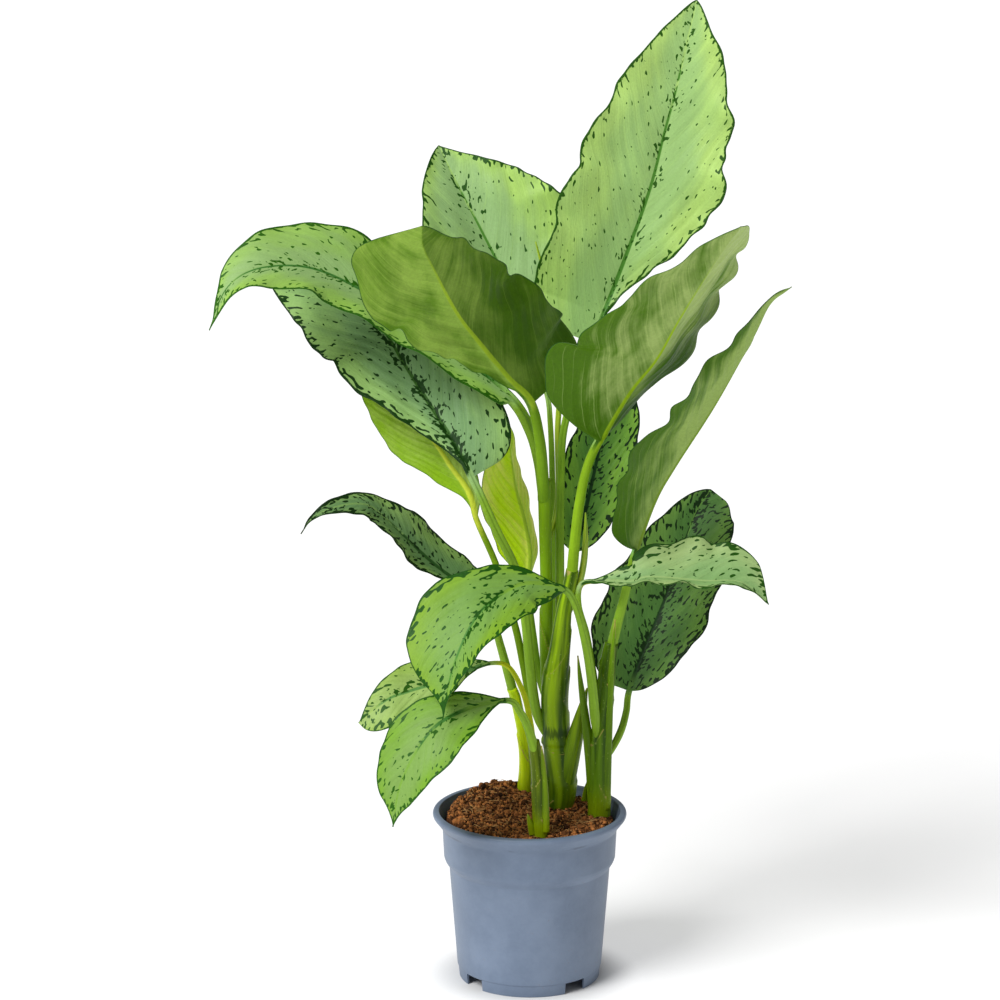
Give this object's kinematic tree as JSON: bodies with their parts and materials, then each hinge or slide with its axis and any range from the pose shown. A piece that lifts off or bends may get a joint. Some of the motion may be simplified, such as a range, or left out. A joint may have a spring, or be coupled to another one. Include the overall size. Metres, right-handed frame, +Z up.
{
  "type": "potted chinese evergreen",
  "caption": "Leafy chinese evergreen with long, wavy-edged variegated leaves on clustered shoots, growing in soil in a round tapered nursery pot that stands on its base.",
  "frame": {"origin": "middle of the pot's underside, on the plane that the pot stands on", "axes": "+Z up along the pot's axis, -Y towards the front of the plant, +X to the right seen from the front"},
  "size_m": [0.4873, 0.3163, 0.8463],
  "materials": {
    "leaf_pale": "satin",
    "leaf_dark": "satin",
    "leaf_underside": "matte",
    "leaf_young": "satin",
    "stem": "satin",
    "soil": "rough",
    "pot": "satin"
  },
  "bodies": {
    "root": {"leaf_01": "leaf_pale", "leaf_02": "leaf_pale", "leaf_03": "leaf_underside", "leaf_04": "leaf_pale", "leaf_05": "leaf_dark", "leaf_06": "leaf_young", "leaf_07": "leaf_young", "leaf_08": "leaf_dark", "leaf_09": "leaf_pale", "leaf_10": "leaf_pale", "leaf_11": "leaf_dark", "leaf_12": "leaf_underside", "leaf_13": "leaf_underside", "leaf_14": "leaf_dark", "leaf_15": "leaf_pale", "leaf_16": "leaf_pale", "leaf_17": "leaf_young", "leaf_18": "leaf_young", "pot": "pot", "soil": "soil", "stem_centre": "stem", "stem_front": "stem", "stem_left": "stem", "stem_right": "stem"}
  },
  "joints": []
}
